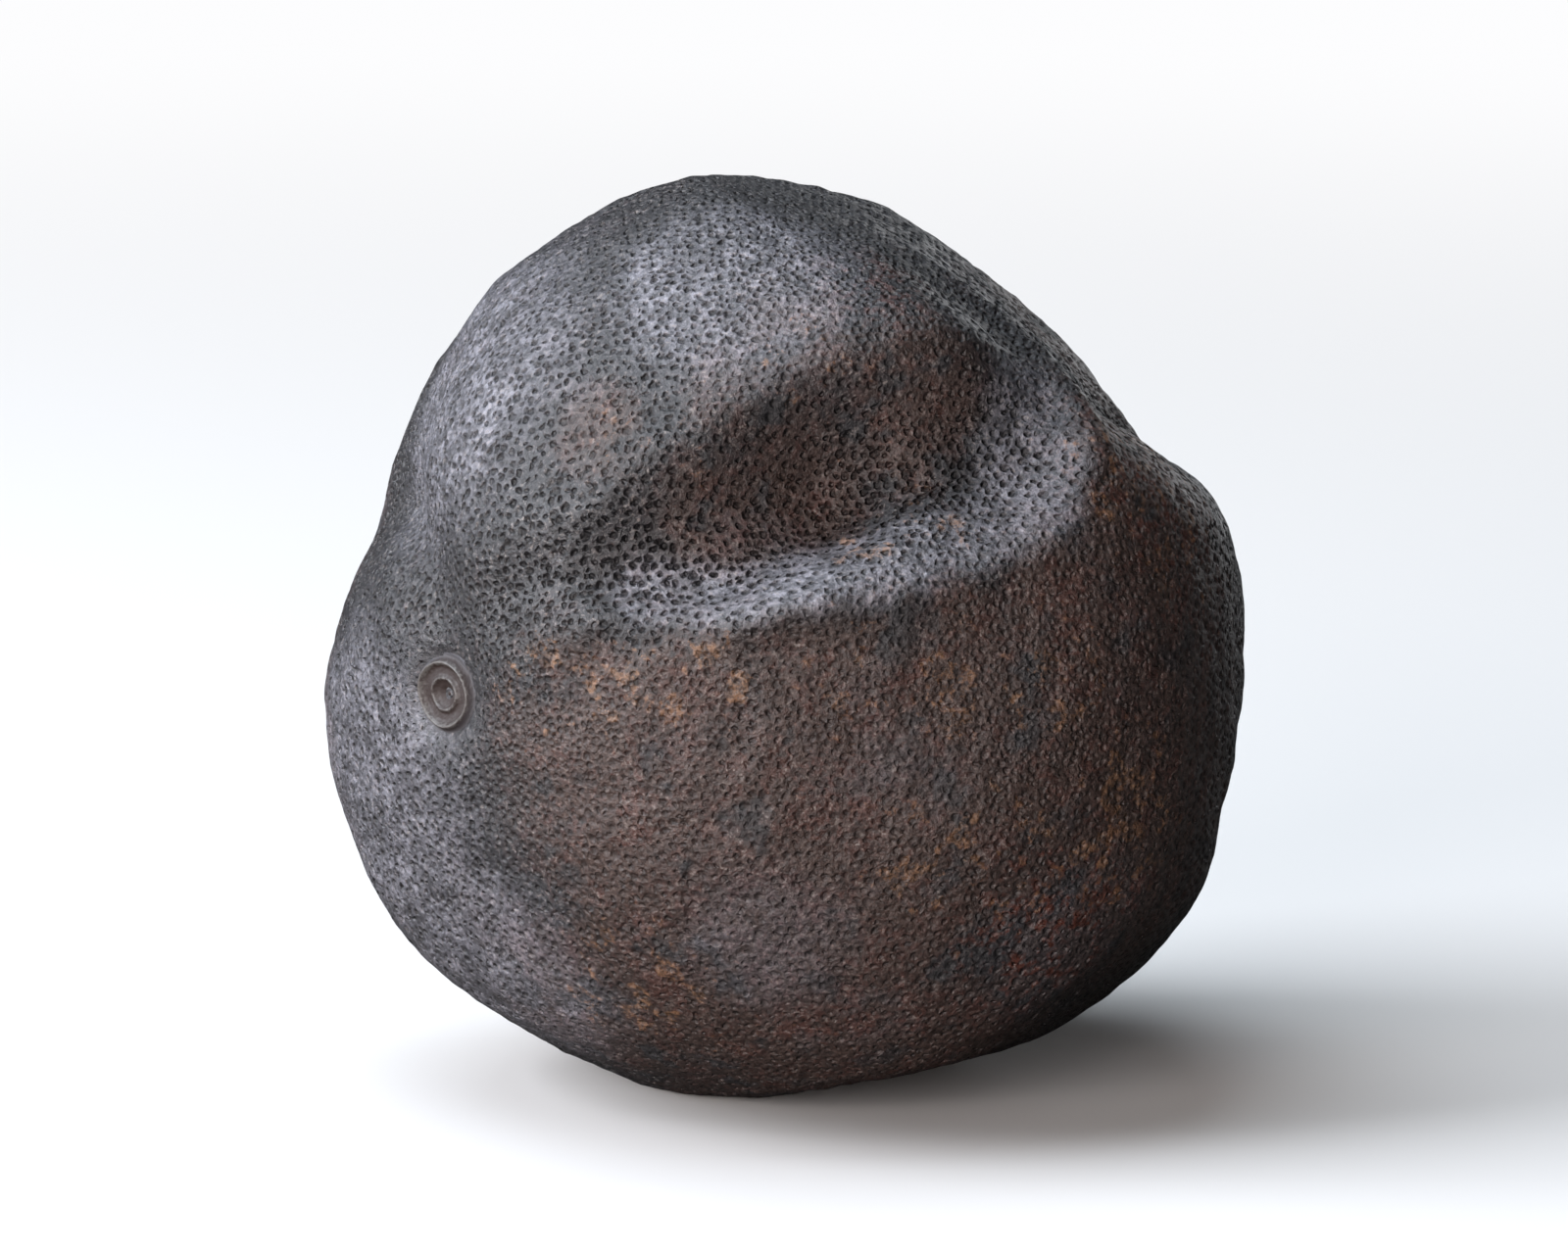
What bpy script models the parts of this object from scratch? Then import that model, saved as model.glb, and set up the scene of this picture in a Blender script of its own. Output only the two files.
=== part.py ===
"""A black lime: a whole lime, boiled in brine and dried until its peel is dark and leathery.

The fruit is one solid. Its surface is a radius for every direction from the middle of the fruit:
an oval body, pressed flat in places as it dried, with dents, creases and furrows sunk into it,
the round scar where the stem was, the small tip where the blossom was, and a flat spot to rest on.

Metres, +Z up. The front faces -Y. A heading is a turn in degrees as seen from above, 0 to the front
and 90 to the right, and a rise in degrees above level.
"""

import math
from typing import NamedTuple

import bmesh
import bpy
import numpy as np
from mathutils import Matrix, Vector

# The oval body, before the dents and the foot
HALF_WIDTH = 0.0190
HALF_DEPTH = 0.0183
HALF_HEIGHT = 0.0196
BELLY_SWELL = 0.048  # how much fuller than an oval the lower half is, as a share of the radius

# The flat spot underneath
FOOT_DROP = 0.01850  # from the middle of the body down to the flat spot
FOOT_SNAP = 0.00003  # points this close to the cut count as on it

# The stem scar: a button with a rim and a pit, in a shallow hollow on the stem end
STEM_HEADING = (-50.3, -0.7)
STEM_HOLLOW_RADIUS = 0.0042
STEM_HOLLOW_DEPTH = 0.00045
SCAR_RIM_RADIUS = 0.00140
SCAR_RIM_WIDTH = 0.00022
SCAR_RIM_HEIGHT = 0.00020
SCAR_MOAT_RADIUS = 0.00172
SCAR_MOAT_WIDTH = 0.00028
SCAR_MOAT_DEPTH = 0.00012
SCAR_HUB_RADIUS = 0.00070
SCAR_HUB_WIDTH = 0.00024
SCAR_HUB_HEIGHT = 0.00016
SCAR_PIT_RADIUS = 0.00034
SCAR_PIT_DEPTH = 0.00030

# The blossom end, straight across from the stem
TIP_RADIUS = 0.0034
TIP_HEIGHT = 0.0006
TIP_PIT_RADIUS = 0.0010
TIP_PIT_DEPTH = 0.0005

# Unevenness of the dried peel
WAVE_SEED = 11
WAVE_SIZES = ((3.0, 0.00020), (6.5, 0.00010), (13.0, 0.00004))  # waves round the fruit, height
WAVES_OF_EACH = 7
WAVE_SPREAD = (0.7, 1.3)
FLAT_SOFTNESS = 0.00045
FLAT_SLANT = 0.3  # a flat only reaches headings with at least this cosine from its own
DENT_SQUARENESS = 1.35  # above 1, a dent's ends are steeper than its sides
DENT_STEEPNESS = 1.35  # above 1, a dent's upper side is steeper than its lower one

# The mesh: rings round the stem, closer together on the scar
SPOKES = 90
RINGS = 62
RING_STEP_ON_SCAR = 0.00020
RING_STEP_ON_BODY = 0.00112
RING_SAMPLES = 4000
SCAR_ZONE = 0.0030
SHARP_ANGLE_DEG = 50.0

PEEL_COLOUR = (0.050, 0.040, 0.038, 1.0)
PEEL_ROUGHNESS = 0.46


class Flat(NamedTuple):
    """A side that was pressed flat: its heading and its distance from the middle."""
    turn: float
    rise: float
    reach: float


class Dent(NamedTuple):
    """A hollow: heading, roll of its long axis, half sizes along, above and below, depth and lean."""
    turn: float
    rise: float
    roll: float
    along: float
    above: float
    below: float
    depth: float
    lean: float = 0.0


class Crease(NamedTuple):
    """A groove along part of a circle on the fruit: the circle's heading and angular radius, the
    bearing of its middle and its half span, then width and depth. A negative depth is a ridge."""
    turn: float
    rise: float
    opening: float
    bearing: float
    span: float
    width: float
    depth: float


class Furrow(NamedTuple):
    """A furrow from the stem end towards the blossom end: its bearing round the stem, the angles
    from the stem where it starts and ends, its sideways drift, width and depth."""
    bearing: float
    start: float
    end: float
    drift: float
    width: float
    depth: float


FLATS = (
    Flat(86.0, 51.5, 0.01600),
    Flat(75.0, 69.5, 0.01720),
    Flat(-92.0, 22.0, 0.01735),
    Flat(68.0, -48.0, 0.01900),
    Flat(-74.0, -57.0, 0.01965),
    Flat(128.0, -26.0, 0.01840),
    Flat(160.0, 12.0, 0.01770),
    Flat(-170.0, -38.0, 0.01860),
    Flat(-138.0, -8.0, 0.01790),
)

DENTS = (
    Dent(-2.5, 24.5, 30.0, 0.0092, 0.0050, 0.0037, 0.0025),
    Dent(21.0, 33.0, 8.0, 0.0102, 0.0050, 0.0057, 0.0027),
    Dent(-31.0, 15.5, 25.0, 0.0056, 0.0026, 0.0026, 0.0006),
    Dent(45.0, -69.0, -10.0, 0.0070, 0.0068, 0.0068, 0.0011),
    Dent(-172.0, 24.0, -38.0, 0.0100, 0.0050, 0.0070, 0.0015, 0.10),
    Dent(113.0, 8.0, 68.0, 0.0100, 0.0050, 0.0046, 0.0009),
    Dent(-118.0, 44.0, 52.0, 0.0080, 0.0042, 0.0042, 0.0008),
    Dent(-112.0, -30.0, -20.0, 0.0090, 0.0050, 0.0040, 0.0008),
)

CREASES = (
    Crease(-76.7, -14.0, 35.5, 15.0, 75.0, 0.0019, 0.00105),
    Crease(17.8, 45.3, 28.4, 90.0, 80.0, 0.0012, -0.00075),
    Crease(-34.4, 79.5, 67.9, 153.0, 40.0, 0.0010, -0.00065),
    Crease(19.2, 44.9, 18.5, 50.0, 50.0, 0.0018, 0.00030),
)

FURROWS = (
    Furrow(-82.0, 40.0, 150.0, 14.0, 0.0022, 0.0007),
    Furrow(-128.0, 45.0, 172.0, -12.0, 0.0025, 0.0009),
    Furrow(-25.0, 75.0, 172.0, 10.0, 0.0024, 0.0007),
    Furrow(52.0, 98.0, 172.0, -8.0, 0.0021, 0.0007),
    Furrow(112.0, 115.0, 174.0, 6.0, 0.0022, 0.0007),
    Furrow(168.0, 100.0, 174.0, -10.0, 0.0021, 0.0006),
)


def heading_vector(turn, rise):
    """The unit vector of a heading."""
    turn = math.radians(turn)
    rise = math.radians(rise)
    return np.array((math.sin(turn) * math.cos(rise), -math.cos(turn) * math.cos(rise), math.sin(rise)))


def compass(axis):
    """Two unit vectors square to an axis: up along the fruit, and to the right as seen from outside."""
    up = np.array((0.0, 0.0, 1.0)) - axis * axis[2]
    up /= np.linalg.norm(up)
    return up, np.cross(up, axis)


def angle_from(directions, axis):
    """The angle of each direction from an axis, in radians."""
    return np.arccos(np.clip(directions @ axis, -1.0, 1.0))


def bearing_round(directions, axis):
    """The bearing of each direction round an axis, in degrees: 0 is up and 90 to the right."""
    up, right = compass(axis)
    return np.degrees(np.arctan2(directions @ right, directions @ up))


def fade(share):
    """A bump that is 1 at 0 and falls smoothly to 0 at -1 and 1."""
    return np.clip(1.0 - share * share, 0.0, 1.0) ** 2


def ring_bump(distance, radius, width):
    """A rounded ridge at one distance from a middle point."""
    return np.exp(-(((distance - radius) / width) ** 2))


def body_radius(directions):
    """The oval body: an ellipsoid's radius, fuller at 45 degrees below level."""
    half_sizes = np.array((HALF_WIDTH, HALF_DEPTH, HALF_HEIGHT))
    radius = 1.0 / np.linalg.norm(directions / half_sizes, axis=1)
    rise = np.arcsin(np.clip(directions[:, 2], -1.0, 1.0))
    swell = np.where(rise < 0.0, np.sin(2.0 * rise) ** 2, 0.0)
    return radius * (1.0 + BELLY_SWELL * swell)


def press_flat(radius, directions, flat):
    """The smaller of the radius and the distance to the flat's plane, blended where they meet."""
    slant = directions @ heading_vector(flat.turn, flat.rise)
    to_plane = np.where(slant > FLAT_SLANT, flat.reach / np.maximum(slant, FLAT_SLANT), 1.0)
    return -FLAT_SOFTNESS * np.logaddexp(-radius / FLAT_SOFTNESS, -to_plane / FLAT_SOFTNESS)


def dent_depth(directions, dent):
    """The depth of a hollow: full in its middle, falling off over its half sizes."""
    axis = heading_vector(dent.turn, dent.rise)
    up, right = compass(axis)
    roll = math.radians(dent.roll)
    long_axis = right * math.cos(roll) + up * math.sin(roll)
    short_axis = up * math.cos(roll) - right * math.sin(roll)
    along = directions @ long_axis * HALF_WIDTH
    across = directions @ short_axis * HALF_WIDTH - dent.lean * along
    half_width = np.where(across > 0.0, dent.above, dent.below)
    share = np.abs(across / half_width)
    share = np.where(across > 0.0, share**DENT_STEEPNESS, share)
    distance = np.hypot(np.abs(along / dent.along) ** DENT_SQUARENESS, share)
    facing = directions @ axis > 0.0
    return np.where(facing, dent.depth * fade(distance), 0.0)


def crease_depth(directions, crease):
    """The depth of a groove that follows part of a circle round its heading."""
    axis = heading_vector(crease.turn, crease.rise)
    off_line = (angle_from(directions, axis) - math.radians(crease.opening)) * HALF_WIDTH
    off_middle = bearing_round(directions, axis) - crease.bearing
    off_middle = (off_middle + 180.0) % 360.0 - 180.0
    return crease.depth * np.exp(-((off_line / crease.width) ** 2)) * fade(off_middle / crease.span)


def furrow_depth(directions, furrow):
    """The depth of a furrow that runs from the stem end towards the blossom end."""
    axis = heading_vector(*STEM_HEADING)
    from_stem = np.degrees(angle_from(directions, axis))
    share = (from_stem - furrow.start) / (furrow.end - furrow.start)
    bearing = bearing_round(directions, axis) - furrow.bearing - furrow.drift * np.sin(math.pi * share)
    bearing = (bearing + 180.0) % 360.0 - 180.0
    off_line = np.radians(bearing) * np.sin(np.radians(from_stem)) * HALF_WIDTH
    return furrow.depth * np.exp(-((off_line / furrow.width) ** 2)) * fade(2.0 * share - 1.0)


def stem_relief(directions):
    """The height of the stem end: a hollow, and in it the scar's moat, rim, hub and pit."""
    distance = angle_from(directions, heading_vector(*STEM_HEADING)) * HALF_WIDTH
    height = -STEM_HOLLOW_DEPTH * fade(distance / STEM_HOLLOW_RADIUS)
    height -= SCAR_MOAT_DEPTH * ring_bump(distance, SCAR_MOAT_RADIUS, SCAR_MOAT_WIDTH)
    height += SCAR_RIM_HEIGHT * ring_bump(distance, SCAR_RIM_RADIUS, SCAR_RIM_WIDTH)
    height += SCAR_HUB_HEIGHT * ring_bump(distance, SCAR_HUB_RADIUS, SCAR_HUB_WIDTH)
    return height - SCAR_PIT_DEPTH * ring_bump(distance, 0.0, SCAR_PIT_RADIUS)


def tip_relief(directions):
    """The height of the blossom end: a low tip with a pit in it."""
    distance = angle_from(directions, -heading_vector(*STEM_HEADING)) * HALF_WIDTH
    height = TIP_HEIGHT * fade(distance / TIP_RADIUS)
    return height - TIP_PIT_DEPTH * ring_bump(distance, 0.0, TIP_PIT_RADIUS)


def wave_relief(directions):
    """The height of the peel's slow unevenness: plane waves in seeded directions, long ones first."""
    draw = np.random.default_rng(WAVE_SEED)
    height = np.zeros(len(directions))
    for waves_round, amplitude in WAVE_SIZES:
        for _ in range(WAVES_OF_EACH):
            axis = draw.normal(size=3)
            axis *= waves_round * draw.uniform(*WAVE_SPREAD) / np.linalg.norm(axis)
            height += amplitude * np.sin(directions @ axis + draw.uniform(0.0, 2.0 * math.pi))
    return height


def peel_points(directions):
    """The point of the peel in each direction from the middle of the body."""
    radius = body_radius(directions)
    for flat in FLATS:
        radius = press_flat(radius, directions, flat)
    for dent in DENTS:
        radius -= dent_depth(directions, dent)
    for crease in CREASES:
        radius -= crease_depth(directions, crease)
    for furrow in FURROWS:
        radius -= furrow_depth(directions, furrow)
    radius += stem_relief(directions) + tip_relief(directions) + wave_relief(directions)
    return directions * radius[:, None]


def ring_angles():
    """The angles of the rings from the stem: steps grow from the scar's to the body's."""
    angle = np.linspace(0.0, math.pi, RING_SAMPLES)
    reach = 1.0 - np.exp(-((angle * HALF_WIDTH / SCAR_ZONE) ** 2))
    step = RING_STEP_ON_SCAR + (RING_STEP_ON_BODY - RING_STEP_ON_SCAR) * reach
    count = np.concatenate(((0.0,), np.cumsum(0.5 / step[1:] + 0.5 / step[:-1])))
    return np.interp(np.linspace(0.0, count[-1], RINGS + 1), count, angle)


def stem_turn():
    """The rotation that takes +Z to the stem's heading."""
    return Vector((0.0, 0.0, 1.0)).rotation_difference(Vector(heading_vector(*STEM_HEADING))).to_matrix()


def shape_fruit(fruit):
    """Move a unit ball's rings to their angles, and each point out to the peel."""
    ball = np.array([point.co for point in fruit.verts])
    even = np.linspace(0.0, math.pi, RINGS + 1)
    angle = np.interp(np.arccos(np.clip(ball[:, 2], -1.0, 1.0)), even, ring_angles())
    bearing = np.arctan2(ball[:, 1], ball[:, 0])
    flat_radius = np.sin(angle)
    rings = np.column_stack((flat_radius * np.cos(bearing), flat_radius * np.sin(bearing), np.cos(angle)))
    points = peel_points(rings @ np.array(stem_turn()).T)
    for point, place in zip(fruit.verts, points):
        point.co = place


def cut_foot(fruit):
    """Slice off the underside at the flat spot and close it with one flat face."""
    everything = fruit.verts[:] + fruit.edges[:] + fruit.faces[:]
    cut = bmesh.ops.bisect_plane(fruit, geom=everything, dist=FOOT_SNAP, clear_outer=True,
                                 plane_co=(0.0, 0.0, -FOOT_DROP), plane_no=(0.0, 0.0, -1.0))
    rim = [item for item in cut["geom_cut"] if isinstance(item, bmesh.types.BMEdge)]
    for edge in rim:
        for point in edge.verts:
            point.co.z = -FOOT_DROP
    bmesh.ops.edgeloop_fill(fruit, edges=rim)
    bmesh.ops.recalc_face_normals(fruit, faces=fruit.faces[:])


def stand_on_origin(fruit):
    """Move the fruit so that the origin is under the middle of its box, at the foot."""
    points = np.array([point.co for point in fruit.verts])
    low = points.min(axis=0)
    high = points.max(axis=0)
    middle = Vector(((low[0] + high[0]) / 2.0, (low[1] + high[1]) / 2.0, low[2]))
    fruit.transform(Matrix.Translation(-middle))


def peel_material():
    """Dark, leathery, slightly waxy peel."""
    material = bpy.data.materials.new("peel")
    material.use_nodes = True
    shader = material.node_tree.nodes["Principled BSDF"]
    shader.inputs["Base Color"].default_value = PEEL_COLOUR
    shader.inputs["Roughness"].default_value = PEEL_ROUGHNESS
    return material


def make_lime():
    """The black lime, one closed solid."""
    fruit = bmesh.new()
    bmesh.ops.create_uvsphere(fruit, u_segments=SPOKES, v_segments=RINGS, radius=1.0)
    shape_fruit(fruit)
    cut_foot(fruit)
    stand_on_origin(fruit)
    mesh = bpy.data.meshes.new("black_lime")
    fruit.to_mesh(mesh)
    fruit.free()
    mesh.shade_smooth()
    mesh.set_sharp_from_angle(angle=math.radians(SHARP_ANGLE_DEG))
    mesh.materials.append(peel_material())
    lime = bpy.data.objects.new("black_lime", mesh)
    bpy.context.scene.collection.objects.link(lime)
    return lime


for leftover in list(bpy.data.objects):
    bpy.data.objects.remove(leftover)
make_lime()
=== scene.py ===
"""Black lime: a whole dried lime with dark, pored, leathery peel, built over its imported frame.

The peel is one fine surface. Its points come from the same formula as the solid's, a radius for every
heading from the middle of the fruit, and its mesh is made of pore cells, so that each pore knows its
own middle. The stem scar is a second, finer surface set into the peel.

Metres, +Z up. The front faces -Y. A heading is a turn in degrees as seen from above, 0 to the front
and 90 to the right, and a rise in degrees above level.
"""

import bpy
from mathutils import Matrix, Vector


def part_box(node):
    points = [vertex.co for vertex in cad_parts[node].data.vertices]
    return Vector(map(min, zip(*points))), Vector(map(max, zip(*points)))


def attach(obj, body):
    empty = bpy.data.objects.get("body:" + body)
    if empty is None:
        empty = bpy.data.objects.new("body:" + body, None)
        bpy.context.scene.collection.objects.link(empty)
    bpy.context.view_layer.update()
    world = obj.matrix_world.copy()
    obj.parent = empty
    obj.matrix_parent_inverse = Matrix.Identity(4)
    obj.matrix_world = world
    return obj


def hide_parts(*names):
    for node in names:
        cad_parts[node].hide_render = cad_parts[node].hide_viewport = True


bl_info = {
    "name": "Black Lime",
    "version": (1, 0, 0),
    "blender": (4, 5, 0),
    "location": "3D View > Sidebar > Black Lime",
    "description": "Builds the peel and the stem scar of a dried lime, and a pale stage for it",
    "category": "Add Mesh",
}

import itertools
import math
from typing import NamedTuple

import bpy
import numpy as np
from bpy.props import FloatProperty, FloatVectorProperty, IntProperty, PointerProperty
from bpy.types import Operator, Panel, PropertyGroup
from mathutils import Vector

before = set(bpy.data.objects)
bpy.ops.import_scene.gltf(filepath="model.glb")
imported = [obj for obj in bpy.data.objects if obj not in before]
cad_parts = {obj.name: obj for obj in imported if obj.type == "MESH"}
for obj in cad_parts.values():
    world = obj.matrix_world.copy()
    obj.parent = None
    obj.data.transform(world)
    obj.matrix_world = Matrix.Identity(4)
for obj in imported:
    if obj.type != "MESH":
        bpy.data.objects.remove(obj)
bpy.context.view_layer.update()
FRUIT_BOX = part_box("black_lime")

# The oval body, before the dents and the foot
HALF_WIDTH = 0.0190
HALF_DEPTH = 0.0183
HALF_HEIGHT = 0.0196
BELLY_SWELL = 0.048
FOOT_DROP = 0.01850
FOOT_SOFTNESS = 0.00006

# The stem end and the blossom end
STEM_HEADING = (-50.3, -0.7)
STEM_HOLLOW_RADIUS = 0.0042
STEM_HOLLOW_DEPTH = 0.00045
SCAR_RIM_RADIUS = 0.00140
SCAR_RIM_WIDTH = 0.00013
SCAR_RIM_HEIGHT = 0.00020
SCAR_MOAT_RADIUS = 0.00172
SCAR_MOAT_WIDTH = 0.00020
SCAR_MOAT_DEPTH = 0.00016
SCAR_HUB_RADIUS = 0.00070
SCAR_HUB_WIDTH = 0.00011
SCAR_HUB_HEIGHT = 0.00013
SCAR_PIT_RADIUS = 0.00034
SCAR_PIT_DEPTH = 0.00030
SCAR_DOT_RADIUS = 0.00012
SCAR_DOT_HEIGHT = 0.00020
SCAR_OVAL = 0.05
SCAR_OVAL_TURN = 0.8
TIP_RADIUS = 0.0034
TIP_HEIGHT = 0.0006
TIP_PIT_RADIUS = 0.0010
TIP_PIT_DEPTH = 0.0005

# Unevenness of the dried peel: waves round the fruit and their height, as on the solid, then finer
# ones, the softness of the flats' edges, a distance beyond the fruit, and the shape of the dents' walls
WAVE_SEED = 11
WAVE_SIZES = ((3.0, 0.00020), (6.5, 0.00010), (13.0, 0.00004))
FINE_WAVE_SEED = 5
FINE_WAVE_SIZES = ((24.0, 0.000011), (42.0, 0.000012), (80.0, 0.000009), (130.0, 0.000005))
WAVES_OF_EACH = 7
WAVE_SPREAD = (0.7, 1.3)
FLAT_SOFTNESS = 0.00045
FLAT_SLANT = 0.3
FAR_AWAY = 1.0
DENT_SQUARENESS = 1.35
DENT_STEEPNESS = 1.35

# The stem scar's own surface, how its edge is tucked under the peel, and how the peel beneath it is
# sunk. Both start at a share of its radius.
BUTTON_RADIUS = 0.00200
BUTTON_TUCK = 0.00018
BUTTON_TUCK_START = 0.85
BUTTON_SINK = 0.00016
BUTTON_SINK_START = 0.90
BUTTON_SPOKES = 144
BUTTON_RINGS = 64


class Flat(NamedTuple):
    """A side that was pressed flat: its heading and its distance from the middle."""
    turn: float
    rise: float
    reach: float


class Dent(NamedTuple):
    """A hollow: heading, roll of its long axis, half sizes along, above and below, depth and lean."""
    turn: float
    rise: float
    roll: float
    along: float
    above: float
    below: float
    depth: float
    lean: float = 0.0


class Crease(NamedTuple):
    """A groove along part of a circle: the circle's heading and angular radius, the bearing of its
    middle and its half span, then width and depth. A negative depth is a ridge."""
    turn: float
    rise: float
    opening: float
    bearing: float
    span: float
    width: float
    depth: float


class Furrow(NamedTuple):
    """A furrow from the stem end towards the blossom end: its bearing round the stem, the angles
    from the stem where it starts and ends, its sideways drift, width and depth."""
    bearing: float
    start: float
    end: float
    drift: float
    width: float
    depth: float


class Patch(NamedTuple):
    """A patch of one colour: its heading, its angular radius in degrees and its strength."""
    turn: float
    rise: float
    spread: float
    strength: float


class Band(NamedTuple):
    """How a value is read: from low to high, it is taken smoothly to start to end."""
    low: float
    high: float
    start: float = 0.0
    end: float = 1.0


class Light(NamedTuple):
    """A soft square light that faces the lime: its place, the length of its sides and its colour."""
    place: tuple
    side: float
    colour: tuple


FLATS = (
    Flat(86.0, 51.5, 0.01600),
    Flat(75.0, 69.5, 0.01720),
    Flat(-92.0, 22.0, 0.01735),
    Flat(68.0, -48.0, 0.01900),
    Flat(-74.0, -57.0, 0.01965),
    Flat(128.0, -26.0, 0.01840),
    Flat(160.0, 12.0, 0.01770),
    Flat(-170.0, -38.0, 0.01860),
    Flat(-138.0, -8.0, 0.01790),
)

DENTS = (
    Dent(-2.5, 24.5, 30.0, 0.0092, 0.0050, 0.0037, 0.0025),
    Dent(21.0, 33.0, 8.0, 0.0102, 0.0050, 0.0057, 0.0027),
    Dent(-31.0, 15.5, 25.0, 0.0056, 0.0026, 0.0026, 0.0006),
    Dent(45.0, -69.0, -10.0, 0.0070, 0.0068, 0.0068, 0.0011),
    Dent(-172.0, 24.0, -38.0, 0.0100, 0.0050, 0.0070, 0.0015, 0.10),
    Dent(113.0, 8.0, 68.0, 0.0100, 0.0050, 0.0046, 0.0009),
    Dent(-118.0, 44.0, 52.0, 0.0080, 0.0042, 0.0042, 0.0008),
    Dent(-112.0, -30.0, -20.0, 0.0090, 0.0050, 0.0040, 0.0008),
)

CREASES = (
    Crease(-76.7, -14.0, 35.5, 15.0, 75.0, 0.0019, 0.00105),
    Crease(17.8, 45.3, 28.4, 90.0, 80.0, 0.0012, -0.00075),
    Crease(-34.4, 79.5, 67.9, 153.0, 40.0, 0.0010, -0.00065),
    Crease(19.2, 44.9, 18.5, 50.0, 50.0, 0.0018, 0.00030),
)

FURROWS = (
    Furrow(-82.0, 40.0, 150.0, 14.0, 0.0022, 0.0007),
    Furrow(-128.0, 45.0, 172.0, -12.0, 0.0025, 0.0009),
    Furrow(-25.0, 75.0, 172.0, 10.0, 0.0024, 0.0007),
    Furrow(52.0, 98.0, 172.0, -8.0, 0.0021, 0.0007),
    Furrow(112.0, 115.0, 174.0, 6.0, 0.0022, 0.0007),
    Furrow(168.0, 100.0, 174.0, -10.0, 0.0021, 0.0006),
)

# The studio: the floor's disc and its tones, the lights, and the camera's range
FLOOR_RADIUS = 12.0
FLOOR_SPOKES = 96
FLOOR_TONE = (0.66, 0.64, 0.62)
FLOOR_BOUNCE = (0.07, 0.065, 0.06)
FLOOR_ROUGHNESS = 0.9
FLOOR_FADE = Band(0.05, 0.40)
LIGHTS = {
    "top": Light((-0.14, 0.03, 0.58), 0.40, (0.80, 0.90, 1.0)),
    "key": Light((-0.50, -0.07, 0.32), 0.40, (0.87, 0.92, 1.0)),
    "low": Light((-0.27, -0.54, 0.06), 0.40, (1.0, 0.93, 0.92)),
    "back": Light((0.26, 0.56, 0.06), 0.40, (0.95, 0.97, 1.0)),
}
CAMERA_RANGE = (0.01, 100.0)

# Where the peel is brown, red-brown and specked with ochre, and where the grey film on it is thick: partly
# waxy bloom, partly painted sheen and highlights
PATCH_SHARPNESS = 4.0
BROWN_PATCHES = (
    Patch(-18.0, -11.0, 24.0, 0.9),
    Patch(13.0, -11.0, 26.0, 1.0),
    Patch(56.0, -8.0, 37.0, 1.0),
    Patch(0.0, -44.0, 36.0, 0.9),
    Patch(-24.0, 2.0, 9.0, 0.9),
    Patch(-12.0, 3.0, 9.5, 1.0),
    Patch(4.0, 5.0, 10.0, 1.0),
    Patch(22.0, 6.0, 12.0, 1.0),
    Patch(38.0, 10.0, 12.0, 1.0),
    Patch(52.0, 18.0, 12.0, 1.0),
    Patch(64.0, 26.0, 18.0, 1.0),
    Patch(-27.0, 34.0, 7.0, 0.6),
    Patch(-9.0, 41.0, 7.0, 0.7),
    Patch(4.0, 48.0, 8.0, 0.8),
    Patch(-10.0, 27.0, 8.0, 0.7),
    Patch(4.0, 34.0, 10.0, 0.9),
    Patch(22.0, 41.0, 10.0, 0.9),
    Patch(170.0, -30.0, 60.0, 0.8),
    Patch(-120.0, -20.0, 36.0, 0.7),
    Patch(120.0, 35.0, 28.0, 0.8),
)
RED_PATCHES = (
    Patch(39.0, -27.0, 15.0, 1.0),
    Patch(62.0, 22.0, 18.0, 0.8),
    Patch(20.0, 56.0, 9.0, 0.5),
    Patch(-172.0, 24.0, 16.0, 0.7),
    Patch(-100.0, -35.0, 14.0, 0.8),
    Patch(140.0, -12.0, 16.0, 0.8),
)
SPECK_PATCHES = (
    Patch(-33.0, 3.0, 8.0, 0.9),
    Patch(-21.0, 5.0, 7.0, 0.8),
    Patch(-10.0, 4.0, 7.0, 1.0),
    Patch(6.0, 7.0, 9.0, 0.5),
    Patch(22.0, 4.0, 9.0, 0.6),
    Patch(34.0, 3.0, 9.0, 0.7),
    Patch(-20.0, 35.0, 9.0, 0.5),
    Patch(2.0, 45.0, 8.0, 0.6),
    Patch(12.0, 21.0, 6.0, 1.3),
    Patch(25.0, 26.0, 6.0, 1.0),
    Patch(-24.0, -38.0, 13.0, 0.7),
    Patch(24.0, -20.0, 12.0, 1.0),
    Patch(46.0, -16.0, 12.0, 0.9),
    Patch(62.0, 28.0, 20.0, 0.7),
    Patch(150.0, 0.0, 26.0, 0.7),
    Patch(-130.0, 10.0, 22.0, 0.7),
)
# Painted sheen and highlights: the first four patches, on the upper left, the top and the left side, and
# the chain along the dent's lip and up its crest, are paler where the lights fall; the rest are waxy bloom
FILM_AND_SHEEN_PATCHES = (
    Patch(-70.0, -18.0, 24.0, 1.0),
    Patch(-56.0, -38.0, 20.0, 1.0),
    Patch(-66.0, 38.0, 22.0, 1.0),
    Patch(-12.0, 58.0, 16.0, 1.0),
    Patch(-18.0, 15.6, 4.4, 1.5),
    Patch(-11.0, 15.8, 4.4, 1.5),
    Patch(-4.0, 16.2, 4.4, 1.5),
    Patch(3.0, 17.5, 5.0, 1.3),
    Patch(10.0, 18.8, 5.4, 1.3),
    Patch(17.0, 20.5, 5.6, 1.2),
    Patch(24.0, 22.0, 5.5, 1.0),
    Patch(31.0, 24.0, 5.8, 1.0),
    Patch(37.0, 27.5, 6.5, 1.0),
    Patch(42.0, 33.0, 7.0, 1.0),
    Patch(45.0, 40.0, 6.0, 0.9),
    Patch(17.0, -8.0, 7.0, 0.20),
    Patch(-3.0, -29.0, 11.0, 0.50),
    Patch(42.0, -30.0, 13.0, 0.35),
    Patch(-160.0, 30.0, 30.0, 0.8),
    Patch(110.0, -10.0, 24.0, 0.5),
)
PATCHES = {"brown": BROWN_PATCHES, "red": RED_PATCHES, "specks": SPECK_PATCHES, "film": FILM_AND_SHEEN_PATCHES}

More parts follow.
